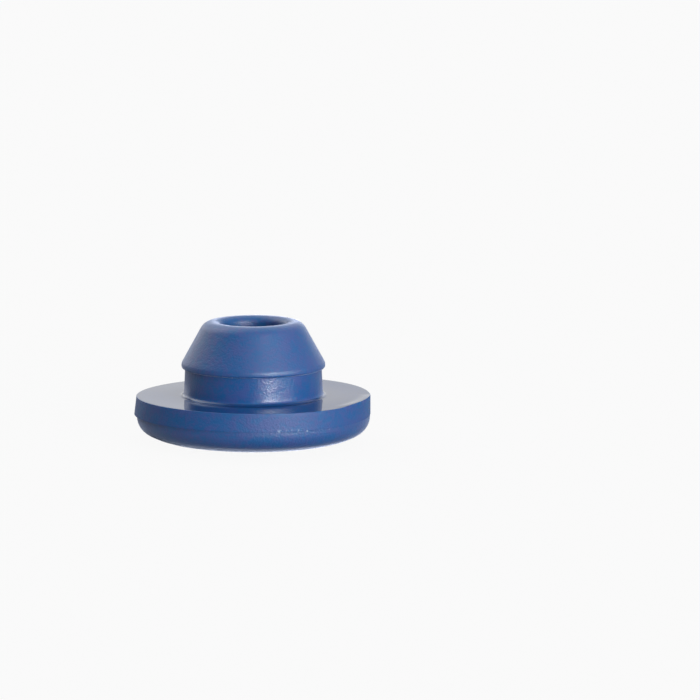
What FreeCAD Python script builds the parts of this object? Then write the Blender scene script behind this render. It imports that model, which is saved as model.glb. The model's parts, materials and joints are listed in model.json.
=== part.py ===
# Rubber stopper for a serum vial with a 13 mm mouth, one moulded piece, standing flange down and plug up.
# Millimetres, +Z up along the plug. The origin is on the axis, in the plane on which the target ring stands.

import FreeCAD, Part

import enum
import math
import os

import Sketcher

# Driving sizes

SIZES = {
    # Flange, trimmed out of the moulded sheet: the widest place is at the foot of the cut band.
    "flange_width": 12.5,
    "flange_thickness": 2.305,
    # Cut band round the sealing side of the flange, and how far it stands out from the moulded side under it.
    "band_height": 0.975,
    "band_flare": 0.06,
    "band_offset": 0.06,
    "trim_step": 0.08,
    # Outer face: flat in the middle, then crowned, then rounded over into the side.
    "crown_width": 1.97,
    "crown_radius": 3.17,
    "corner_radius": 0.95,
    # Target ring on the outer face.
    "ring_width": 4.05,
    "bead_width": 0.54,
    "bead_height": 0.15,
    "crest_width": 0.12,
    # Plug: neck, sealing lip and nose.
    "neck_width": 7.23,
    "neck_foot_width": 7.35,
    "foot_radius": 0.25,
    "neck_height": 1.465,
    "lip_width": 7.6,
    "lip_edge_radius": 0.13,
    "lip_land": 0.14,
    "plug_height": 3.955,
    "nose_flat_width": 4.3,
    "shoulder_radius": 0.72,
    # Blind recess in the nose, drawn in towards its floor.
    "mouth_width": 3.4,
    "mouth_radius": 0.4,
    "recess_floor_width": 3.1,
    "recess_depth": 3.75,
    "floor_radius": 0.8,
}

QUARTER_TURN = math.pi / 2
SKETCH_NORMAL = FreeCAD.Vector(0, 0, 1)


class Axis(enum.IntEnum):
    """A sketch's own axes, as its constraints name them."""

    ACROSS = -1
    UP = -2


class At(enum.IntEnum):
    """Point of an edge that a constraint takes."""

    START = 1
    END = 2
    CENTRE = 3


ORIGIN = (Axis.ACROSS, At.START)


def make_sheet(doc):
    """Spreadsheet of the driving sizes, one row each with its name as alias."""
    sheet = doc.addObject("Spreadsheet::Sheet", "sizes")
    for row, (name, value) in enumerate(SIZES.items(), start=1):
        sheet.set("A%d" % row, name)
        sheet.set("B%d" % row, str(value))
        sheet.setAlias("B%d" % row, name)
    doc.recompute()


def origin_plane(body, role):
    """Origin plane of the body with the given role."""
    return next(plane for plane in body.Origin.OriginFeatures if plane.Role == role)


def new_sketch(body, name, role):
    """Empty sketch on one of the body's own origin planes."""
    sketch = body.newObject("Sketcher::SketchObject", name)
    sketch.AttachmentSupport = [(origin_plane(body, role), "")]
    sketch.MapMode = "FlatFace"
    return sketch


def add_line(sketch, start, end):
    """Straight edge between two points of the sketch."""
    return sketch.addGeometry(Part.LineSegment(FreeCAD.Vector(*start), FreeCAD.Vector(*end)), False)


def add_arc(sketch, centre, radius, start_angle, end_angle):
    """Arc drawn anticlockwise between two angles."""
    circle = Part.Circle(FreeCAD.Vector(*centre), SKETCH_NORMAL, radius)
    return sketch.addGeometry(Part.ArcOfCircle(circle, start_angle, end_angle), False)


def spread(places):
    """Edge numbers and their points in one flat list, as a constraint takes them."""
    pairs = [place if isinstance(place, tuple) else (place,) for place in places]
    return [number for pair in pairs for number in pair]


def relate(sketch, kind, *places):
    """Constraint without a size, such as Coincident or Tangent."""
    sketch.addConstraint(Sketcher.Constraint(kind, *spread(places)))


def size(sketch, name, kind, places, expression):
    """Constraint whose size follows an expression of the sheet's values."""
    value = float(sketch.evalExpression(expression))
    index = sketch.addConstraint(Sketcher.Constraint(kind, *spread(places), value))
    sketch.renameConstraint(index, name)
    sketch.setExpression("Constraints." + name, expression)


def revolve(body, kind, name, sketch):
    """Full turn of a half-section about the upright axis, added to the body or cut out of it."""
    feature = body.newObject(kind, name)
    feature.Profile = sketch
    feature.ReferenceAxis = (sketch, ["V_Axis"])
    feature.Angle = 360
    return feature


def flange(body):
    """Moulded flange: flat outer face, crown, rounded corner and straight side up to the sealing face."""
    face = SIZES["bead_height"]
    sealing = face + SIZES["flange_thickness"]
    side = SIZES["flange_width"] / 2 - SIZES["trim_step"]
    flat = side - SIZES["crown_width"]
    crown = SIZES["crown_radius"]
    corner = SIZES["corner_radius"]
    across = side - corner - flat
    lean = math.asin(across / (crown - corner))
    corner_level = face + crown - (crown - corner) * math.cos(lean)

    sketch = new_sketch(body, "flange_section", "XZ_Plane")
    outer_face = add_line(sketch, (0, face), (flat, face))
    crown_arc = add_arc(sketch, (flat, face + crown), crown, -QUARTER_TURN, lean - QUARTER_TURN)
    corner_arc = add_arc(sketch, (side - corner, corner_level), corner, lean - QUARTER_TURN, 0)
    wall = add_line(sketch, (side, corner_level), (side, sealing))
    sealing_side = add_line(sketch, (side, sealing), (0, sealing))
    axis = add_line(sketch, (0, sealing), (0, face))

    relate(sketch, "Tangent", (outer_face, At.END), (crown_arc, At.START))
    relate(sketch, "Tangent", (crown_arc, At.END), (corner_arc, At.START))
    relate(sketch, "Tangent", (corner_arc, At.END), (wall, At.START))
    relate(sketch, "Coincident", (wall, At.END), (sealing_side, At.START))
    relate(sketch, "Coincident", (sealing_side, At.END), (axis, At.START))
    relate(sketch, "Coincident", (axis, At.END), (outer_face, At.START))
    relate(sketch, "PointOnObject", (axis, At.START), Axis.UP)
    relate(sketch, "Vertical", axis)
    relate(sketch, "Vertical", wall)
    relate(sketch, "Horizontal", outer_face)
    relate(sketch, "Horizontal", sealing_side)
    size(sketch, "face_level", "DistanceY", (ORIGIN, (outer_face, At.START)), "sizes.bead_height")
    size(sketch, "thickness", "DistanceY", ((axis, At.END), (axis, At.START)), "sizes.flange_thickness")
    size(sketch, "side", "DistanceX", (ORIGIN, (wall, At.START)), "sizes.flange_width / 2 - sizes.trim_step")
    size(sketch, "crown_width", "DistanceX", ((outer_face, At.END), (wall, At.START)), "sizes.crown_width")
    size(sketch, "crown_radius", "Radius", (crown_arc,), "sizes.crown_radius")
    size(sketch, "corner_radius", "Radius", (corner_arc,), "sizes.corner_radius")
    return revolve(body, "PartDesign::Revolution", "moulded_flange", sketch)


def band_circle(body, name, level, radius):
    """Circle of the cut band at a level above the rest plane."""
    sketch = new_sketch(body, name, "XY_Plane")
    sketch.setExpression("AttachmentOffset.Base.z", level)
    start_radius = float(sketch.evalExpression(radius))
    circle = sketch.addGeometry(Part.Circle(FreeCAD.Vector(0, 0, 0), SKETCH_NORMAL, start_radius), False)
    size(sketch, "radius", "Radius", (circle,), radius)
    return sketch, circle


def trimmed_band(body):
    """Cut band of the flange: a die that ran a little off centre, and wider as it came through the rubber."""
    foot, foot_circle = band_circle(
        body, "band_foot",
        "sizes.bead_height + sizes.flange_thickness - sizes.band_height",
        "sizes.flange_width / 2",
    )
    relate(foot, "PointOnObject", (foot_circle, At.CENTRE), Axis.ACROSS)
    size(foot, "offset", "DistanceX", ((foot_circle, At.CENTRE), ORIGIN), "sizes.band_offset")
    rim, rim_circle = band_circle(
        body, "band_rim",
        "sizes.bead_height + sizes.flange_thickness",
        "sizes.flange_width / 2 - sizes.band_flare",
    )
    relate(rim, "Coincident", (rim_circle, At.CENTRE), ORIGIN)

    band = body.newObject("PartDesign::AdditiveLoft", "trimmed_band")
    band.Profile = foot
    band.Sections = [rim]
    band.Ruled = True
    return band


def plug(body):
    """Plug: foot fillet, neck, overhanging sealing lip, cone and rounded shoulder up to the flat nose."""
    sealing = SIZES["bead_height"] + SIZES["flange_thickness"]
    nose = sealing + SIZES["plug_height"]
    underside_level = sealing + SIZES["neck_height"]
    land_level = underside_level + SIZES["lip_edge_radius"]
    cone_level = land_level + SIZES["lip_land"]
    neck_foot = SIZES["neck_foot_width"] / 2
    neck = SIZES["neck_width"] / 2
    lip = SIZES["lip_width"] / 2
    nose_flat = SIZES["nose_flat_width"] / 2
    foot = SIZES["foot_radius"]
    edge = SIZES["lip_edge_radius"]
    shoulder = SIZES["shoulder_radius"]

    # The cone's edge runs from the lip to where it touches the shoulder's arc.
    shoulder_level = nose - shoulder
    reach = math.hypot(lip - nose_flat, cone_level - shoulder_level)
    sight = math.atan2(cone_level - shoulder_level, lip - nose_flat)
    touch = sight + math.acos(shoulder / reach)
    touch_point = (nose_flat + shoulder * math.cos(touch), shoulder_level + shoulder * math.sin(touch))

    sketch = new_sketch(body, "plug_section", "XZ_Plane")
    base = add_line(sketch, (0, sealing), (neck_foot + foot, sealing))
    foot_arc = add_arc(sketch, (neck_foot + foot, sealing + foot), foot, 2 * QUARTER_TURN, 3 * QUARTER_TURN)
    neck_edge = add_line(sketch, (neck_foot, sealing + foot), (neck, underside_level))
    underside = add_line(sketch, (neck, underside_level), (lip - edge, underside_level))
    edge_arc = add_arc(sketch, (lip - edge, land_level), edge, -QUARTER_TURN, 0)
    land = add_line(sketch, (lip, land_level), (lip, cone_level))
    cone = add_line(sketch, (lip, cone_level), touch_point)
    shoulder_arc = add_arc(sketch, (nose_flat, shoulder_level), shoulder, touch, QUARTER_TURN)
    nose_edge = add_line(sketch, (nose_flat, nose), (0, nose))
    axis = add_line(sketch, (0, nose), (0, sealing))

    relate(sketch, "Tangent", (base, At.END), (foot_arc, At.END))
    relate(sketch, "Tangent", (foot_arc, At.START), (neck_edge, At.START))
    relate(sketch, "Coincident", (neck_edge, At.END), (underside, At.START))
    relate(sketch, "Tangent", (underside, At.END), (edge_arc, At.START))
    relate(sketch, "Tangent", (edge_arc, At.END), (land, At.START))
    relate(sketch, "Coincident", (land, At.END), (cone, At.START))
    relate(sketch, "Tangent", (cone, At.END), (shoulder_arc, At.START))
    relate(sketch, "Tangent", (shoulder_arc, At.END), (nose_edge, At.START))
    relate(sketch, "Coincident", (nose_edge, At.END), (axis, At.START))
    relate(sketch, "Coincident", (axis, At.END), (base, At.START))
    relate(sketch, "PointOnObject", (axis, At.START), Axis.UP)
    relate(sketch, "Vertical", axis)
    relate(sketch, "Vertical", land)
    relate(sketch, "Horizontal", base)
    relate(sketch, "Horizontal", underside)
    relate(sketch, "Horizontal", nose_edge)
    size(
        sketch, "sealing_level", "DistanceY", (ORIGIN, (base, At.START)),
        "sizes.bead_height + sizes.flange_thickness",
    )
    size(sketch, "neck_foot", "DistanceX", (ORIGIN, (neck_edge, At.START)), "sizes.neck_foot_width / 2")
    size(sketch, "neck", "DistanceX", (ORIGIN, (neck_edge, At.END)), "sizes.neck_width / 2")
    size(sketch, "foot_radius", "Radius", (foot_arc,), "sizes.foot_radius")
    size(sketch, "edge_radius", "Radius", (edge_arc,), "sizes.lip_edge_radius")
    size(sketch, "neck_height", "DistanceY", ((base, At.START), (underside, At.START)), "sizes.neck_height")
    size(sketch, "lip", "DistanceX", (ORIGIN, (land, At.START)), "sizes.lip_width / 2")
    size(sketch, "lip_land", "DistanceY", ((land, At.START), (land, At.END)), "sizes.lip_land")
    size(sketch, "nose_flat", "DistanceX", (ORIGIN, (shoulder_arc, At.END)), "sizes.nose_flat_width / 2")
    size(sketch, "shoulder_radius", "Radius", (shoulder_arc,), "sizes.shoulder_radius")
    size(sketch, "plug_height", "DistanceY", ((base, At.START), (nose_edge, At.START)), "sizes.plug_height")
    return revolve(body, "PartDesign::Revolution", "plug", sketch)


def recess(body):
    """Blind recess in the nose: rounded mouth, wall drawn in towards a rounded floor."""
    nose = SIZES["bead_height"] + SIZES["flange_thickness"] + SIZES["plug_height"]
    floor = nose - SIZES["recess_depth"]
    mouth = SIZES["mouth_width"] / 2
    foot = SIZES["recess_floor_width"] / 2
    rounding = SIZES["mouth_radius"]
    bowl = SIZES["floor_radius"]

    sketch = new_sketch(body, "recess_section", "XZ_Plane")
    opening = add_line(sketch, (0, nose), (mouth + rounding, nose))
    mouth_arc = add_arc(sketch, (mouth + rounding, nose - rounding), rounding, QUARTER_TURN, 2 * QUARTER_TURN)
    wall = add_line(sketch, (mouth, nose - rounding), (foot, floor + bowl))
    floor_arc = add_arc(sketch, (foot - bowl, floor + bowl), bowl, -QUARTER_TURN, 0)
    floor_edge = add_line(sketch, (foot - bowl, floor), (0, floor))
    axis = add_line(sketch, (0, floor), (0, nose))

    relate(sketch, "Tangent", (opening, At.END), (mouth_arc, At.START))
    relate(sketch, "Tangent", (mouth_arc, At.END), (wall, At.START))
    relate(sketch, "Tangent", (wall, At.END), (floor_arc, At.END))
    relate(sketch, "Tangent", (floor_arc, At.START), (floor_edge, At.START))
    relate(sketch, "Coincident", (floor_edge, At.END), (axis, At.START))
    relate(sketch, "Coincident", (axis, At.END), (opening, At.START))
    relate(sketch, "PointOnObject", (axis, At.START), Axis.UP)
    relate(sketch, "Vertical", axis)
    relate(sketch, "Horizontal", opening)
    relate(sketch, "Horizontal", floor_edge)
    size(
        sketch, "nose_level", "DistanceY", (ORIGIN, (opening, At.START)),
        "sizes.bead_height + sizes.flange_thickness + sizes.plug_height",
    )
    size(sketch, "mouth", "DistanceX", (ORIGIN, (wall, At.START)), "sizes.mouth_width / 2")
    size(sketch, "mouth_radius", "Radius", (mouth_arc,), "sizes.mouth_radius")
    size(sketch, "foot", "DistanceX", (ORIGIN, (wall, At.END)), "sizes.recess_floor_width / 2")
    size(sketch, "floor_radius", "Radius", (floor_arc,), "sizes.floor_radius")
    size(sketch, "depth", "DistanceY", ((axis, At.START), (axis, At.END)), "sizes.recess_depth")
    return revolve(body, "PartDesign::Groove", "recess", sketch)


def target_ring(body):
    """Raised ring on the outer face: a round bead whose crest is flat, so that the stopper stands on it."""
    face = SIZES["bead_height"]
    outside = SIZES["ring_width"] / 2
    inside = outside - SIZES["bead_width"]
    flank = (SIZES["bead_width"] - SIZES["crest_width"]) / 2
    bend = (flank * flank + face * face) / (2 * face)
    swing = math.atan2(face - bend, flank)

    sketch = new_sketch(body, "ring_section", "XZ_Plane")
    crest = add_line(sketch, (inside + flank, 0), (outside - flank, 0))
    outer_arc = add_arc(sketch, (outside - flank, bend), bend, -QUARTER_TURN, swing)
    base = add_line(sketch, (outside, face), (inside, face))
    inner_arc = add_arc(sketch, (inside + flank, bend), bend, 2 * QUARTER_TURN - swing, 3 * QUARTER_TURN)

    relate(sketch, "Tangent", (crest, At.END), (outer_arc, At.START))
    relate(sketch, "Coincident", (outer_arc, At.END), (base, At.START))
    relate(sketch, "Coincident", (base, At.END), (inner_arc, At.START))
    relate(sketch, "Tangent", (inner_arc, At.END), (crest, At.START))
    relate(sketch, "PointOnObject", (crest, At.START), Axis.ACROSS)
    relate(sketch, "Horizontal", crest)
    relate(sketch, "Horizontal", base)
    relate(sketch, "Equal", outer_arc, inner_arc)
    size(sketch, "outside", "DistanceX", (ORIGIN, (base, At.START)), "sizes.ring_width / 2")
    size(sketch, "bead_width", "DistanceX", ((base, At.END), (base, At.START)), "sizes.bead_width")
    size(sketch, "bead_height", "DistanceY", (ORIGIN, (base, At.START)), "sizes.bead_height")
    size(sketch, "crest_width", "DistanceX", ((crest, At.START), (crest, At.END)), "sizes.crest_width")
    return revolve(body, "PartDesign::Revolution", "target_ring", sketch)


def check(doc, body):
    """Stop if a feature has failed, a sketch is loose or the solid isn't sound."""
    for item in doc.Objects:
        if "Invalid" in item.State or "Error" in item.State:
            raise RuntimeError("%s has failed: %s" % (item.Name, item.State))
        if item.isDerivedFrom("Sketcher::SketchObject") and item.solve() != 0:
            raise RuntimeError("%s doesn't solve" % item.Name)
    shape = body.Shape
    if shape.isNull() or not shape.isValid() or len(shape.Solids) != 1:
        raise RuntimeError("%s isn't one sound solid" % body.Label)


def main():
    """Build the stopper and write its solid."""
    doc = FreeCAD.newDocument("vial_stopper")
    make_sheet(doc)
    body = doc.addObject("PartDesign::Body", "stopper")
    body.Label = "stopper"
    flange(body)
    trimmed_band(body)
    plug(body)
    target_ring(body)
    doc.recompute()
    before = body.Shape.Volume
    body.Tip = recess(body)
    doc.recompute()
    check(doc, body)
    if body.Shape.Volume >= before:
        raise RuntimeError("the recess cuts nothing")

    os.makedirs("parts", exist_ok=True)
    body.Shape.exportStep("parts/%s.step" % body.Label)
    box = body.Shape.optimalBoundingBox(False, False)
    lengths = (box.XLength, box.YLength, box.ZLength)
    print("%s: %.2f x %.2f x %.2f mm" % (body.Label, *lengths))
    print("volume %.1f mm3" % body.Shape.Volume)


main()
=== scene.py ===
import json
import math

import bmesh
import bpy
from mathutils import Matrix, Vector


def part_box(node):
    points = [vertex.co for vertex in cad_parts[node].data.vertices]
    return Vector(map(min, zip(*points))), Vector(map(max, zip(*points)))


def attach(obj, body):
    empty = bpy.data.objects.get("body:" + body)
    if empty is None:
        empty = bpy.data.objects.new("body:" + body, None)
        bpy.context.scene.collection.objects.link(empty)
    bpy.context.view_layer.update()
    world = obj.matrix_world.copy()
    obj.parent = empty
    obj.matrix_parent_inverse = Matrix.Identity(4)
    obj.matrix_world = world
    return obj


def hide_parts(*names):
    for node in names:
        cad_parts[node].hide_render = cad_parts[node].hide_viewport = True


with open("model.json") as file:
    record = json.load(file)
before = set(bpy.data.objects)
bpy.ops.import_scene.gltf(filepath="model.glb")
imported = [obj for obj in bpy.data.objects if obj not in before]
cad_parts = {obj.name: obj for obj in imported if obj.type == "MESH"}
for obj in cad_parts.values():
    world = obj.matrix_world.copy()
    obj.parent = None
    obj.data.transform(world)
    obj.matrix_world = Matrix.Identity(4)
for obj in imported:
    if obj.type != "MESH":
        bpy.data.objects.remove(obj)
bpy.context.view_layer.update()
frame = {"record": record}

# Sizes in metres, read from the frame where it holds them

MM = 0.001
MOUNTS = {mount["name"]: mount for mount in frame["record"]["mounts"]}
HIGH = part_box("stopper")[1]

NOSE_LEVEL = HIGH.z
SEALING_LEVEL = MOUNTS["sealing_face"]["pos_m"][2]
FACE_LEVEL = MOUNTS["outer_face"]["pos_m"][2]
LIP_RADIUS = MOUNTS["sealing_lip"]["dims"]["r_mm"] * MM
LIP_LAND = MOUNTS["sealing_lip"]["dims"]["length_mm"] * MM
LAND_LEVEL = MOUNTS["sealing_lip"]["pos_m"][2] - LIP_LAND / 2
CREST_RADIUS = MOUNTS["standing_ring"]["pos_m"][0]
FLANGE_RADIUS = HIGH.y

# Flange: the moulded side, and the cut band that stands out from it
SIDE_RADIUS = FLANGE_RADIUS - 0.08 * MM
BAND_HEIGHT = 0.975 * MM
BAND_FLARE = 0.06 * MM
BAND_OFFSET = 0.06 * MM
CROWN_WIDTH = 1.97 * MM
CROWN_RADIUS = 3.17 * MM
CORNER_RADIUS = 0.95 * MM

# Target ring
BEAD_WIDTH = 0.54 * MM
BEAD_CREST_SHARE = 0.8
BEAD_ROUNDING = 0.17 * MM
BEAD_ROOT = 0.05 * MM

# Plug
NECK_RADIUS = 3.615 * MM
NECK_FOOT_RADIUS = 3.675 * MM
FOOT_FILLET = 0.25 * MM
# Share of the foot's fillet, from the face up, that takes the polished skin with its painted shade
POLISHED_SHARE = 0.4
LIP_ROOT = 0.03 * MM
LIP_EDGE = 0.13 * MM
LIP_CROWN = 0.35 * MM
UNDERSIDE_LEVEL = LAND_LEVEL - LIP_EDGE
NOSE_FLAT_RADIUS = 2.15 * MM
SHOULDER_RADIUS = 0.72 * MM

# Recess
MOUTH_RADIUS = 1.7 * MM
MOUTH_ROUNDING = 0.4 * MM
RECESS_FLOOR_RADIUS = 1.55 * MM
RECESS_DEPTH = 3.75 * MM
FLOOR_ROUNDING = 0.8 * MM

# Breaks of the cut band's sharp edges
CUT_EDGE = 0.015 * MM
RIM_EDGE = 0.035 * MM

# Fineness of the mesh
ARC_STEP = math.radians(9)
STRAIGHT_STEP = 0.16 * MM
STEPS_AROUND = 400
MERGE_DISTANCE = 0.0001 * MM
LEVEL_TOLERANCE = 0.002 * MM

# Unevenness of soft rubber: how far it goes, and how many waves there are to a radius
CUT_WANDER = 0.03 * MM
WANDER_SCALE = 1.3
RAG_SCALE = 22.0
RAG_SHARE = 0.35
LIP_WANDER = 0.03 * MM
LIP_REACH = 0.13 * MM
LIP_SCALE = 8.0
FLANGE_WARP = 0.077 * MM

# Marks on one side: each one's direction, and how closely a point has to face that way,
# and how high the noise has to be, for the mark to begin and for it to be full
NICK_DEPTH = 0.04 * MM
NICK_REACH = 0.09 * MM
NICK_SCALE = 15.0
NICK_NOISE = (0.52, 0.68)
NICK_SIDE = (0.9, -0.44, 0.0)
NICK_FACING = (0.55, 0.95)
RIM_LIFT = 0.08 * MM
RIM_LIFT_REACH = 0.7 * MM
RIM_LIFT_SIDE = (0.94, -0.34, 0.0)
RIM_LIFT_FACING = (0.92, 1.0)
# Pale flecks on the cut's lower edge and on the mouth's edge: partly dust, partly painted glints
DUST_AND_GLINT_REACH = 0.06 * MM
BAND_DUST_AND_GLINT_SIDE = (0.45, -0.89, 0.0)
MOUTH_DUST_AND_GLINT_SIDE = (-0.69, -0.72, 0.0)
DUST_AND_GLINT_FACING = (0.93, 0.99)

# Colours and gloss
RUBBER_BLUE = (0.001, 0.078, 0.25, 1.0)
RUBBER_SHADE = (0.03, 0.068, 0.238, 1.0)
# The polished colours are darker than the rubber's own blue: painted shade on the sealing face and on the
# fillet at the neck's foot
POLISHED_BLUE_WITH_PAINTED_SHADE = (0.001, 0.047, 0.165, 1.0)
POLISHED_MOTTLE_WITH_PAINTED_SHADE = (0.013, 0.042, 0.155, 1.0)
# Colour of the pale flecks, partly dust and partly painted glints
DUST_AND_GLINT_COLOR = (0.34, 0.42, 0.56, 1.0)
SHEEN_TINT = (0.66, 0.75, 1.0, 1.0)
SHEEN_ROUGHNESS = 0.3
RUBBER_IOR = 1.53
SKIN_IOR = 1.65
MOTTLE = 1.0
GRAIN_SCALE = 9000.0
BLOTCH_SCALE = 3500.0
CLOUD_SCALE = 1200.0
SHADE_NOISE = (1.25, 1.75)
BLOTCH_RELIEF = 0.6
DUST_AND_GLINT_SCALE = 5200.0
DUST_AND_GLINT_NOISE = (0.6, 0.72)
WHITE = (1.0, 1.0, 1.0, 1.0)
FLOOR_COLOR = (0.38, 0.38, 0.38, 1.0)
FLOOR_WHITENESS = 0.93
MIRRORED_WHITENESS = 0.02
FLOOR_RADIUS = 3.0
FLOOR_SEGMENTS = 96

# Studio: the room's own level, and each soft light's azimuth, elevation, core, reach and strength
ROOM_LEVEL = 0.03
STUDIO_LIGHTS = [
    (180, 12, 5, 28, 0.92),
    (-148, 7, 3, 20, 1.6),
    (-135, 25, 6, 18, 1.0),
    (150, 6, 2, 24, 0.9),
    (180, 62, 10, 40, 0.9),
    (-122, 48, 8, 30, 2.0),
    (140, 52, 8, 30, 0.5),
    (0, 60, 10, 36, 0.35),
    (30, 4, 1, 12, 27.0),
    (60, 4, 1, 12, 8.0),
    (34, 10, 5, 30, 5.0),
    (36, 40, 8, 34, 0.5),
    (92, 28, 5, 40, 0.4),
    (-75, 42, 20, 65, 0.1),
]

# Camera: its tilt, its distance to the sealing face's centre, and that centre's place in the view
CAMERA_PITCH = 8.65
CAMERA_DISTANCE = 250 * MM
AIM_RIGHT = -5.107 * MM
AIM_DOWN = 2.375 * MM
VIEW_WIDTH = 37.04 * MM
SENSOR_WIDTH_MM = 36
NEAREST = 0.01
FARTHEST = 10.0


def rounded_section(corners):
    """Points (radius, height) along an outline whose corners are (radius, height, rounding)."""
    points = []
    for index, (across, up, rounding) in enumerate(corners):
        here = Vector((across, up))
        if rounding == 0:
            points.append(here)
            continue
        back = (Vector(corners[index - 1][:2]) - here).normalized()
        ahead = (Vector(corners[index + 1][:2]) - here).normalized()
        opening = back.angle(ahead)
        centre = here + (back + ahead).normalized() * rounding / math.sin(opening / 2)
        start = here + back * rounding / math.tan(opening / 2) - centre
        turn = (math.pi - opening) * (1 if back.cross(ahead) < 0 else -1)
        steps = max(3, math.ceil(abs(turn) / ARC_STEP))
        for step in range(steps + 1):
            angle = turn * step / steps
            swung = Vector((
                start.x * math.cos(angle) - start.y * math.sin(angle),
                start.x * math.sin(angle) + start.y * math.cos(angle),
            ))
            points.append(centre + swung)
    return points


def divided(points):
    """The same outline with its long straight runs cut into even steps."""
    fine = [points[0]]
    for start, end in zip(points, points[1:]):
        steps = max(1, math.ceil((end - start).length / STRAIGHT_STEP))
        fine += [start.lerp(end, step / steps) for step in range(1, steps + 1)]
    return fine


def stopper_corners():
    """Corners of the half-section, from the outer face's centre round to the recess floor's."""
    bead = BEAD_WIDTH / 2
    lean = math.asin((CROWN_WIDTH - CORNER_RADIUS) / (CROWN_RADIUS - CORNER_RADIUS))
    crown_corner = SIDE_RADIUS - CROWN_WIDTH + CROWN_RADIUS * math.tan(lean / 2)
    side_corner = (
        FACE_LEVEL + CROWN_RADIUS - (CROWN_RADIUS - CORNER_RADIUS) * math.cos(lean)
        - CORNER_RADIUS * math.tan((math.pi / 2 - lean) / 2)
    )
    band_foot = SEALING_LEVEL - BAND_HEIGHT

    # The cone touches the shoulder's arc, whose tangents meet in this corner of the nose.
    cone_level = LAND_LEVEL + LIP_LAND
    shoulder_level = NOSE_LEVEL - SHOULDER_RADIUS
    reach = math.hypot(LIP_RADIUS - NOSE_FLAT_RADIUS, cone_level - shoulder_level)
    sight = math.atan2(cone_level - shoulder_level, LIP_RADIUS - NOSE_FLAT_RADIUS)
    touch = sight + math.acos(SHOULDER_RADIUS / reach)
    nose_corner = NOSE_FLAT_RADIUS + SHOULDER_RADIUS * math.tan((math.pi / 2 - touch) / 2)

    recess_floor = NOSE_LEVEL - RECESS_DEPTH
    taper = (MOUTH_RADIUS - RECESS_FLOOR_RADIUS) / RECESS_DEPTH
    floor_corner = RECESS_FLOOR_RADIUS - taper * FLOOR_ROUNDING
    return [
        (0, FACE_LEVEL, 0),
        (CREST_RADIUS - bead, FACE_LEVEL, BEAD_ROOT),
        (CREST_RADIUS - bead * BEAD_CREST_SHARE, 0, BEAD_ROUNDING),
        (CREST_RADIUS + bead * BEAD_CREST_SHARE, 0, BEAD_ROUNDING),
        (CREST_RADIUS + bead, FACE_LEVEL, BEAD_ROOT),
        (crown_corner, FACE_LEVEL, CROWN_RADIUS),
        (SIDE_RADIUS, side_corner, CORNER_RADIUS),
        (SIDE_RADIUS, band_foot, CUT_EDGE),
        (FLANGE_RADIUS, band_foot, CUT_EDGE),
        (FLANGE_RADIUS - BAND_FLARE, SEALING_LEVEL, RIM_EDGE),
        (NECK_FOOT_RADIUS, SEALING_LEVEL, FOOT_FILLET),
        (NECK_RADIUS, UNDERSIDE_LEVEL, LIP_ROOT),
        (LIP_RADIUS, UNDERSIDE_LEVEL, LIP_EDGE),
        (LIP_RADIUS, cone_level, LIP_CROWN),
        (nose_corner, NOSE_LEVEL, SHOULDER_RADIUS),
        (MOUTH_RADIUS, NOSE_LEVEL, MOUTH_ROUNDING),
        (floor_corner, recess_floor, FLOOR_ROUNDING),
        (0, recess_floor, 0),
    ]


def section_mesh(name, points):
    """Outline as a chain of edges in the XZ plane, first point to last."""
    mesh = bpy.data.meshes.new(name)
    edges = [(index, index + 1) for index in range(len(points) - 1)]
    mesh.from_pydata([(point.x, 0, point.y) for point in points], edges, [])
    return mesh


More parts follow.
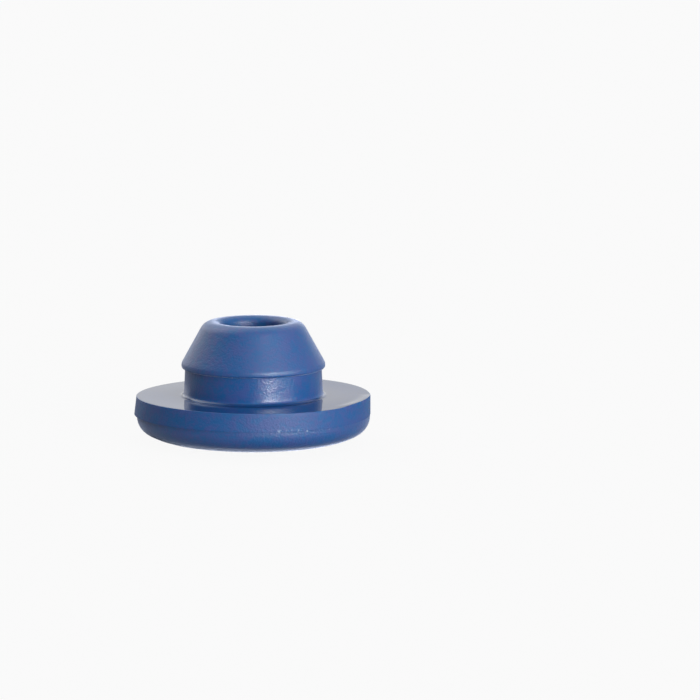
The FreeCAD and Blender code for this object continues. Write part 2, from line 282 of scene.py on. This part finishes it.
class Nodes:
    """Short ways to add nodes to a tree and to set or link their inputs."""

    def __init__(self, tree):
        self.tree = tree

    def add(self, kind, settings=None, inputs=None):
        """New node with its settings, and its inputs by name or number: each a value or an output to link."""
        node = self.tree.nodes.new(kind)
        for name, value in (settings or {}).items():
            setattr(node, name, value)
        for name, value in (inputs or {}).items():
            self.feed(node.inputs[name], value)
        return node

    def feed(self, socket, value):
        """Link an output to the socket, or set the socket's own value."""
        if isinstance(value, bpy.types.NodeSocket):
            self.tree.links.new(value, socket)
        else:
            socket.default_value = value

    def math(self, operation, *values):
        """Result of a Math node."""
        return self.add("ShaderNodeMath", {"operation": operation}, dict(enumerate(values))).outputs[0]

    def product(self, value, *factors):
        """Value multiplied by each factor in turn."""
        for factor in factors:
            value = self.math("MULTIPLY", value, factor)
        return value

    def vector(self, operation, *values):
        """Vector result of a Vector Math node."""
        return self.add("ShaderNodeVectorMath", {"operation": operation}, dict(enumerate(values))).outputs[0]

    def dot(self, first, second):
        """Dot product of two vectors."""
        settings = {"operation": "DOT_PRODUCT"}
        return self.add("ShaderNodeVectorMath", settings, {0: first, 1: second}).outputs["Value"]

    def along(self, axis, length):
        """Vector of this length along X, Y or Z."""
        return self.add("ShaderNodeCombineXYZ", inputs={axis: length}).outputs[0]

    def rise(self, value, start, end, low=0.0, high=1.0):
        """Smooth change from low to high as the value goes from start to end."""
        ends = {"Value": value, "From Min": start, "From Max": end, "To Min": low, "To Max": high}
        return self.add("ShaderNodeMapRange", {"interpolation_type": "SMOOTHSTEP"}, ends).outputs["Result"]

    def noise(self, vector, scale, detail=2.0):
        """Value of a Noise texture, about 0.5 in the middle."""
        inputs = {"Vector": vector, "Scale": scale, "Detail": detail}
        return self.add("ShaderNodeTexNoise", {"noise_dimensions": "3D"}, inputs).outputs[0]

    def wave(self, vector, scale, detail=2.0):
        """Value of a Noise texture, about 0 in the middle."""
        return self.math("SUBTRACT", self.noise(vector, scale, detail), 0.5)

    def mixed(self, share, first, second):
        """Colour that goes from the first to the second as the share goes from 0 to 1."""
        mix = self.add("ShaderNodeMix", {"data_type": "RGBA"}, {"Factor": share})
        colors = [socket for socket in mix.inputs if socket.type == "RGBA"]
        self.feed(colors[0], first)
        self.feed(colors[1], second)
        return next(socket for socket in mix.outputs if socket.type == "RGBA")

    def stored(self, mesh, name, value, kind, domain):
        """Mesh with the value stored in a named attribute."""
        return self.add("GeometryNodeStoreNamedAttribute", {"data_type": kind, "domain": domain}, {
            "Geometry": mesh,
            "Name": name,
            "Value": value,
        }).outputs[0]


def new_group(name, kind, inputs, outputs):
    """Node group with named sockets: the group, its helper, its inputs and its outputs."""
    tree = bpy.data.node_groups.new(name, kind)
    for socket_name, socket_kind in inputs:
        tree.interface.new_socket(socket_name, in_out="INPUT", socket_type=socket_kind)
    for socket_name, socket_kind in outputs:
        tree.interface.new_socket(socket_name, in_out="OUTPUT", socket_type=socket_kind)
    nodes = Nodes(tree)
    return tree, nodes, nodes.add("NodeGroupInput").outputs, nodes.add("NodeGroupOutput").inputs


class Place:
    """Where a point of the stopper lies, as values of the lathe's tree."""

    def __init__(self, nodes, given):
        position = nodes.add("GeometryNodeInputPosition").outputs[0]
        parts = nodes.add("ShaderNodeSeparateXYZ", inputs={0: position}).outputs
        self.right, self.back, self.height = parts["X"], parts["Y"], parts["Z"]
        squares = [nodes.math("POWER", side, 2.0) for side in (self.right, self.back)]
        self.radius = nodes.math("SQRT", nodes.math("ADD", *squares))
        self.around = nodes.vector("NORMALIZE", nodes.vector("MULTIPLY", position, (1.0, 1.0, 0.0)))
        self.over_face = nodes.math("SUBTRACT", self.height, given["Sealing Level"])
        under_face = nodes.math("SUBTRACT", given["Sealing Level"], self.height)
        self.down_band = nodes.math("DIVIDE", under_face, given["Band Height"])
        self.outside_neck = nodes.math("GREATER_THAN", self.radius, NECK_RADIUS)


def lathed(nodes, given):
    """The half-section turned round the axis: a square grid whose rows are the outline's points."""
    points_last = nodes.math("SUBTRACT", given["Section Points"], 1)
    grid = nodes.add("GeometryNodeMeshGrid", inputs={
        "Size X": 1.0,
        "Size Y": 1.0,
        "Vertices X": nodes.math("ADD", given["Steps Around"], 1),
        "Vertices Y": given["Section Points"],
    })
    place = nodes.add("ShaderNodeSeparateXYZ", inputs={0: nodes.add("GeometryNodeInputPosition").outputs[0]})
    row = nodes.math("ROUND", nodes.product(nodes.math("ADD", place.outputs["Y"], 0.5), points_last))
    angle = nodes.product(nodes.math("ADD", place.outputs["X"], 0.5), math.tau)
    outline = nodes.add("GeometryNodeSampleIndex", {"data_type": "FLOAT_VECTOR", "domain": "POINT"}, {
        "Geometry": given["Section"],
        "Index": row,
    })
    nodes.feed(outline.inputs["Value"], nodes.add("GeometryNodeInputPosition").outputs[0])
    drawn = nodes.add("ShaderNodeSeparateXYZ", inputs={0: outline.outputs[0]})
    turned = nodes.add("ShaderNodeCombineXYZ", inputs={
        "X": nodes.product(drawn.outputs["X"], nodes.math("COSINE", angle)),
        "Y": nodes.product(drawn.outputs["X"], nodes.math("SINE", angle)),
        "Z": drawn.outputs["Z"],
    })
    wrapped = nodes.add("GeometryNodeSetPosition", inputs={
        "Geometry": grid.outputs["Mesh"],
        "Position": turned.outputs[0],
    })
    return nodes.add("GeometryNodeMergeByDistance", inputs={
        "Geometry": wrapped.outputs[0],
        "Distance": MERGE_DISTANCE,
    }).outputs[0]


def with_finishes_marked(nodes, given, place, mesh):
    """Mark the sealing face with its part of the fillet, the neck and the cut band, on the true form."""
    fillet_top = nodes.product(given["Foot Fillet"], POLISHED_SHARE)
    over_band = nodes.math("GREATER_THAN", place.over_face, -LEVEL_TOLERANCE)
    on_fillet = nodes.math("LESS_THAN", place.over_face, fillet_top)
    over_fillet = nodes.math("GREATER_THAN", place.over_face, fillet_top)
    under_lip = nodes.math("LESS_THAN", place.height, UNDERSIDE_LEVEL - LIP_ROOT)
    side = nodes.math("ADD", given["Side Radius"], LEVEL_TOLERANCE)
    for name, choice in (
        ("sealing_face", nodes.product(over_band, on_fillet, place.outside_neck)),
        ("neck", nodes.product(over_fillet, under_lip, place.outside_neck)),
        ("cut_band", nodes.math("GREATER_THAN", place.radius, side)),
    ):
        mesh = nodes.stored(mesh, name, choice, "BOOLEAN", "FACE")
    return mesh


def with_dust_and_glints_marked(nodes, given, place, mesh):
    """Mark where pale flecks lie, partly dust and partly painted glints: the cut's lower edge at the front
    right, the mouth's edge at the front left.
    """
    band_foot = nodes.math("SUBTRACT", given["Sealing Level"], given["Band Height"])
    dust_and_glint_edges = 0.0
    for level, edge_radius, side in (
        (band_foot, given["Rim Radius"], BAND_DUST_AND_GLINT_SIDE),
        (NOSE_LEVEL, NOSE_FLAT_RADIUS, MOUTH_DUST_AND_GLINT_SIDE),
    ):
        off_level = nodes.math("ABSOLUTE", nodes.math("SUBTRACT", place.height, level))
        off_radius = nodes.math("ABSOLUTE", nodes.math("SUBTRACT", edge_radius, place.radius))
        edge = nodes.product(
            nodes.rise(off_level, DUST_AND_GLINT_REACH, 0.0),
            nodes.rise(off_radius, 2 * DUST_AND_GLINT_REACH, DUST_AND_GLINT_REACH),
            nodes.rise(nodes.dot(place.around, side), *DUST_AND_GLINT_FACING),
        )
        dust_and_glint_edges = nodes.math("MAXIMUM", edge, dust_and_glint_edges)
    return nodes.stored(mesh, "dust_and_glint_edge", dust_and_glint_edges, "FLOAT", "POINT")


def band_move(nodes, given, place):
    """Move of the cut band: off centre at its foot, with a wandering cut and nicks in the rim's right."""
    outer = nodes.rise(place.radius, given["Side Radius"], nodes.math("ADD", given["Side Radius"], CUT_EDGE))
    shift = nodes.product(given["Band Offset"], place.down_band, outer)
    rag = nodes.product(nodes.wave(place.around, RAG_SCALE, 3.0), RAG_SHARE)
    wander = nodes.math("ADD", nodes.wave(place.around, WANDER_SCALE), rag)
    wander = nodes.product(wander, given["Cut Wander"])
    nick = nodes.product(
        nodes.rise(nodes.noise(place.around, NICK_SCALE, 1.0), *NICK_NOISE),
        nodes.rise(nodes.math("ABSOLUTE", place.over_face), NICK_REACH, 0.0),
        nodes.rise(nodes.dot(place.around, NICK_SIDE), *NICK_FACING),
        given["Nick Depth"],
    )
    outward_move = nodes.add("ShaderNodeVectorMath", {"operation": "SCALE"}, {
        0: place.around,
        "Scale": nodes.product(nodes.math("SUBTRACT", wander, nick), outer),
    }).outputs[0]
    return nodes.vector("ADD", outward_move, nodes.along("X", nodes.product(shift, -1.0)))


def upward_move(nodes, given, place):
    """Rise of the flange's slight saddle, of its lifted rim, and of the lip's uneven lower edge."""
    saddle = nodes.product(place.right, place.back, given["Flange Warp"])
    saddle = nodes.math("DIVIDE", saddle, nodes.math("POWER", given["Rim Radius"], 2.0))
    saddle = nodes.product(saddle, nodes.rise(place.radius, given["Neck Foot Radius"], given["Rim Radius"]))
    lift_start = nodes.math("SUBTRACT", given["Rim Radius"], RIM_LIFT_REACH)
    lift = nodes.product(
        nodes.rise(nodes.dot(place.around, RIM_LIFT_SIDE), *RIM_LIFT_FACING),
        given["Rim Lift"],
        nodes.rise(place.radius, lift_start, given["Rim Radius"]),
        nodes.rise(place.down_band, 1.0, 0.0),
    )
    off_underside = nodes.math("ABSOLUTE", nodes.math("SUBTRACT", place.height, UNDERSIDE_LEVEL))
    lip = nodes.product(
        nodes.rise(off_underside, LIP_REACH, 0.0),
        place.outside_neck,
        nodes.wave(place.around, LIP_SCALE, 3.0),
        given["Lip Wander"],
    )
    return nodes.along("Z", nodes.math("ADD", nodes.math("ADD", saddle, lift), lip))


def with_materials(nodes, given, mesh):
    """Smooth mesh with its moulded material, and the marked finishes over it."""
    mesh = nodes.add("GeometryNodeSetShadeSmooth", inputs={"Geometry": mesh}).outputs[0]
    mesh = nodes.add("GeometryNodeRealizeInstances", inputs={"Geometry": mesh}).outputs[0]
    settings = {"Geometry": mesh, "Material": given["Moulded"]}
    mesh = nodes.add("GeometryNodeSetMaterial", inputs=settings).outputs[0]
    for name, finish in (("sealing_face", "Polished"), ("neck", "Smooth"), ("cut_band", "Cut")):
        marked = nodes.add("GeometryNodeInputNamedAttribute", {"data_type": "BOOLEAN"}, {"Name": name})
        mesh = nodes.add("GeometryNodeSetMaterial", inputs={
            "Geometry": mesh,
            "Selection": marked.outputs[0],
            "Material": given[finish],
        }).outputs[0]
    return mesh


def lathe_tree():
    """Geometry Nodes tree that turns the half-section, moves the cut band and warps the flange."""
    tree, nodes, given, result = new_group(
        "stopper lathe",
        "GeometryNodeTree",
        [
            ("Section", "NodeSocketGeometry"),
            ("Section Points", "NodeSocketInt"),
            ("Steps Around", "NodeSocketInt"),
            ("Side Radius", "NodeSocketFloat"),
            ("Rim Radius", "NodeSocketFloat"),
            ("Neck Foot Radius", "NodeSocketFloat"),
            ("Foot Fillet", "NodeSocketFloat"),
            ("Sealing Level", "NodeSocketFloat"),
            ("Band Height", "NodeSocketFloat"),
            ("Band Offset", "NodeSocketFloat"),
            ("Cut Wander", "NodeSocketFloat"),
            ("Nick Depth", "NodeSocketFloat"),
            ("Lip Wander", "NodeSocketFloat"),
            ("Flange Warp", "NodeSocketFloat"),
            ("Rim Lift", "NodeSocketFloat"),
            ("Moulded", "NodeSocketMaterial"),
            ("Smooth", "NodeSocketMaterial"),
            ("Polished", "NodeSocketMaterial"),
            ("Cut", "NodeSocketMaterial"),
        ],
        [("Stopper", "NodeSocketGeometry")],
    )
    place = Place(nodes, given)
    mesh = with_finishes_marked(nodes, given, place, lathed(nodes, given))
    mesh = with_dust_and_glints_marked(nodes, given, place, mesh)
    formed = nodes.add("GeometryNodeSetPosition", inputs={
        "Geometry": mesh,
        "Offset": nodes.vector("ADD", band_move(nodes, given, place), upward_move(nodes, given, place)),
    })
    nodes.feed(result["Stopper"], with_materials(nodes, given, formed.outputs[0]))
    return tree


def set_inputs(modifier, values):
    """Set a modifier's inputs by their sockets' identifiers."""
    for socket in modifier.node_group.interface.items_tree:
        if socket.item_type == "SOCKET" and socket.in_out == "INPUT" and socket.name in values:
            modifier[socket.identifier] = values[socket.name]


def stopper():
    """The stopper as one closed mesh, in place of the CAD node."""
    points = divided(rounded_section(stopper_corners()))
    grain = grain_group()
    source = bpy.data.objects.new("half_section", section_mesh("half_section", points))
    bpy.context.collection.objects.link(source)
    modifier = source.modifiers.new("lathe", "NODES")
    modifier.node_group = lathe_tree()
    set_inputs(modifier, {
        "Section Points": len(points),
        "Steps Around": STEPS_AROUND,
        "Side Radius": SIDE_RADIUS,
        "Rim Radius": FLANGE_RADIUS - BAND_FLARE,
        "Neck Foot Radius": NECK_FOOT_RADIUS,
        "Foot Fillet": FOOT_FILLET,
        "Sealing Level": SEALING_LEVEL,
        "Band Height": BAND_HEIGHT,
        "Band Offset": BAND_OFFSET,
        "Cut Wander": CUT_WANDER,
        "Nick Depth": NICK_DEPTH,
        "Lip Wander": LIP_WANDER,
        "Flange Warp": FLANGE_WARP,
        "Rim Lift": RIM_LIFT,
        "Moulded": moulded_rubber(grain),
        "Smooth": smooth_rubber(grain),
        "Polished": polished_rubber(grain),
        "Cut": cut_rubber(grain),
    })
    bpy.context.view_layer.update()
    evaluated = source.evaluated_get(bpy.context.evaluated_depsgraph_get())
    mesh = bpy.data.meshes.new_from_object(evaluated)
    mesh.name = "stopper_body"
    bpy.data.objects.remove(source)
    outward(mesh)
    piece = bpy.data.objects.new("stopper_body", mesh)
    bpy.context.collection.objects.link(piece)
    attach(piece, "root")
    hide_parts("stopper")


def outward(mesh):
    """Close the mesh and turn its faces outward."""
    form = bmesh.new()
    form.from_mesh(mesh)
    bmesh.ops.remove_doubles(form, verts=form.verts, dist=MERGE_DISTANCE)
    bmesh.ops.recalc_face_normals(form, faces=form.faces)
    form.to_mesh(mesh)
    form.free()


def grain_group():
    """Shader group: mottled pigment, pale flecks that are partly dust and partly painted glints, fine grain
    of the mould and slow changes of gloss.
    """
    tree, nodes, given, result = new_group(
        "rubber grain",
        "ShaderNodeTree",
        [
            ("Color", "NodeSocketColor"),
            ("Shade", "NodeSocketColor"),
            ("Mottle", "NodeSocketFloat"),
            ("Roughness", "NodeSocketFloat"),
            ("Roughness Spread", "NodeSocketFloat"),
            ("Dust And Glint Color", "NodeSocketColor"),
        ],
        [("Color", "NodeSocketColor"), ("Roughness", "NodeSocketFloat"), ("Height", "NodeSocketFloat")],
    )
    place = nodes.add("ShaderNodeTexCoord").outputs["Object"]
    fine = nodes.noise(place, GRAIN_SCALE, 2.0)
    blotch = nodes.noise(place, BLOTCH_SCALE, 3.0)
    cloud = nodes.noise(place, CLOUD_SCALE, 2.0)
    spots = nodes.math("ADD", nodes.math("ADD", fine, blotch), cloud)
    share = nodes.product(nodes.rise(spots, *SHADE_NOISE), given["Mottle"])
    pigment = nodes.mixed(share, given["Color"], given["Shade"])
    # Pale flecks where the edge is marked: partly dust, partly painted glints
    edge = nodes.add("ShaderNodeAttribute", {"attribute_name": "dust_and_glint_edge"}).outputs["Fac"]
    dust_and_glint = nodes.product(nodes.rise(nodes.noise(place, DUST_AND_GLINT_SCALE, 1.0), *DUST_AND_GLINT_NOISE), edge)
    spread = nodes.product(nodes.math("SUBTRACT", cloud, 0.5), given["Roughness Spread"])
    nodes.feed(result["Color"], nodes.mixed(dust_and_glint, pigment, given["Dust And Glint Color"]))
    nodes.feed(result["Roughness"], nodes.math("ADD", given["Roughness"], spread))
    nodes.feed(result["Height"], nodes.math("ADD", fine, nodes.product(blotch, BLOTCH_RELIEF)))
    return tree


def rubber(name, grain, ior, roughness, spread, bump, sheen, color=RUBBER_BLUE, shade=RUBBER_SHADE):
    """Blue rubber with its own gloss and grain."""
    material = bpy.data.materials.new(name)
    material.use_nodes = True
    nodes = Nodes(material.node_tree)
    shader = material.node_tree.nodes["Principled BSDF"]
    skin = nodes.add("ShaderNodeGroup", {"node_tree": grain}, {
        "Color": color,
        "Shade": shade,
        "Mottle": MOTTLE,
        "Roughness": roughness,
        "Roughness Spread": spread,
        "Dust And Glint Color": DUST_AND_GLINT_COLOR,
    })
    relief = nodes.add("ShaderNodeBump", inputs={
        "Strength": 1.0,
        "Distance": bump,
        "Height": skin.outputs["Height"],
    })
    for socket, value in {
        "Base Color": skin.outputs["Color"],
        "Roughness": skin.outputs["Roughness"],
        "Normal": relief.outputs["Normal"],
        "IOR": ior,
        "Sheen Weight": sheen,
        "Sheen Roughness": SHEEN_ROUGHNESS,
        "Sheen Tint": SHEEN_TINT,
    }.items():
        nodes.feed(shader.inputs[socket], value)
    return material


def moulded_rubber(grain):
    """Satin skin of the mould: plug, recess, flange's side and outer face."""
    return rubber(
        "moulded rubber", grain, ior=SKIN_IOR, roughness=0.45, spread=0.12, bump=0.018 * MM, sheen=1.0,
    )


def smooth_rubber(grain):
    """Smoother skin of the neck and the upper part of its foot's fillet."""
    return rubber(
        "smooth rubber", grain, ior=RUBBER_IOR, roughness=0.3, spread=0.12, bump=0.012 * MM, sheen=0.6,
    )


def polished_rubber(grain):
    """Glossy skin of the sealing face and the lower part of the foot's fillet, from the mould's polished
    plate, in a darker colour that is painted shade.
    """
    return rubber(
        "polished rubber with painted shade", grain, ior=RUBBER_IOR, roughness=0.06, spread=0.04, bump=0.00004 * MM, sheen=0.0,
        color=POLISHED_BLUE_WITH_PAINTED_SHADE, shade=POLISHED_MOTTLE_WITH_PAINTED_SHADE,
    )


def cut_rubber(grain):
    """Knife-cut rubber of the trimmed band."""
    return rubber(
        "cut rubber", grain, ior=RUBBER_IOR, roughness=0.55, spread=0.1, bump=0.016 * MM, sheen=0.15,
    )


def floor():
    """Pale floor: near white with a faint shadow to the camera, mostly its own paint to reflections."""
    mesh = bpy.data.meshes.new("floor")
    form = bmesh.new()
    bmesh.ops.create_circle(form, cap_ends=True, radius=FLOOR_RADIUS, segments=FLOOR_SEGMENTS)
    form.to_mesh(mesh)
    form.free()
    ground = bpy.data.objects.new("floor", mesh)
    bpy.context.collection.objects.link(ground)

    material = bpy.data.materials.new("pale floor")
    material.use_nodes = True
    nodes = Nodes(material.node_tree)
    material.node_tree.nodes.clear()
    paths = nodes.add("ShaderNodeLightPath").outputs
    mirrored = nodes.math("MAXIMUM", paths["Is Glossy Ray"], paths["Is Transmission Ray"])
    mirrored = nodes.product(mirrored, MIRRORED_WHITENESS)
    seen = nodes.math("MAXIMUM", nodes.product(paths["Is Camera Ray"], FLOOR_WHITENESS), mirrored)
    painted = nodes.add("ShaderNodeBsdfDiffuse", inputs={"Color": FLOOR_COLOR})
    bright = nodes.add("ShaderNodeEmission", inputs={"Color": WHITE, "Strength": 1.0})
    mix = nodes.add("ShaderNodeMixShader", inputs={
        0: seen,
        1: painted.outputs[0],
        2: bright.outputs[0],
    })
    nodes.add("ShaderNodeOutputMaterial", inputs={"Surface": mix.outputs[0]})
    mesh.materials.append(material)


def towards(azimuth, elevation):
    """Direction from the stopper. Azimuth 0 is the camera's side, and grows towards +X."""
    turn, rise = math.radians(azimuth), math.radians(elevation)
    return Vector((math.sin(turn) * math.cos(rise), -math.cos(turn) * math.cos(rise), math.sin(rise)))


def surroundings():
    """White studio: a wall behind the stopper and soft lights, in a room that is dark elsewhere."""
    world = bpy.data.worlds.new("studio")
    bpy.context.scene.world = world
    world.use_nodes = True
    nodes = Nodes(world.node_tree)
    world.node_tree.nodes.clear()
    direction = nodes.add("ShaderNodeTexCoord").outputs["Generated"]
    level = ROOM_LEVEL
    for azimuth, elevation, core, reach, strength in STUDIO_LIGHTS:
        facing = nodes.dot(direction, towards(azimuth, elevation))
        edge, middle = math.cos(math.radians(reach)), math.cos(math.radians(core))
        glow = nodes.rise(facing, edge, middle, 0.0, strength)
        level = nodes.math("ADD", glow, level)
    paths = nodes.add("ShaderNodeLightPath").outputs
    lit = nodes.add("ShaderNodeBackground", inputs={"Color": WHITE, "Strength": level})
    seen = nodes.add("ShaderNodeBackground", inputs={"Color": WHITE, "Strength": 1.0})
    mix = nodes.add("ShaderNodeMixShader", inputs={
        0: paths["Is Camera Ray"],
        1: lit.outputs[0],
        2: seen.outputs[0],
    })
    nodes.add("ShaderNodeOutputWorld", inputs={"Surface": mix.outputs[0]})


def camera():
    """Camera at the photograph's angle and framing."""
    pitch = math.radians(CAMERA_PITCH)
    right = Vector((1, 0, 0))
    ahead = Vector((0, math.cos(pitch), -math.sin(pitch)))
    down = Vector((0, -math.sin(pitch), -math.cos(pitch)))
    lens = bpy.data.cameras.new("camera")
    lens.sensor_width = SENSOR_WIDTH_MM
    lens.lens = SENSOR_WIDTH_MM * CAMERA_DISTANCE / VIEW_WIDTH
    lens.clip_start = NEAREST
    lens.clip_end = FARTHEST
    eye = bpy.data.objects.new("camera", lens)
    aim = Vector((0, 0, SEALING_LEVEL)) - right * AIM_RIGHT - down * AIM_DOWN
    eye.location = aim - ahead * CAMERA_DISTANCE
    eye.rotation_euler = ahead.to_track_quat("-Z", "Y").to_euler()
    bpy.context.collection.objects.link(eye)
    bpy.context.scene.camera = eye


stopper()
floor()
surroundings()
camera()
bpy.context.scene.view_settings.view_transform = "Standard"
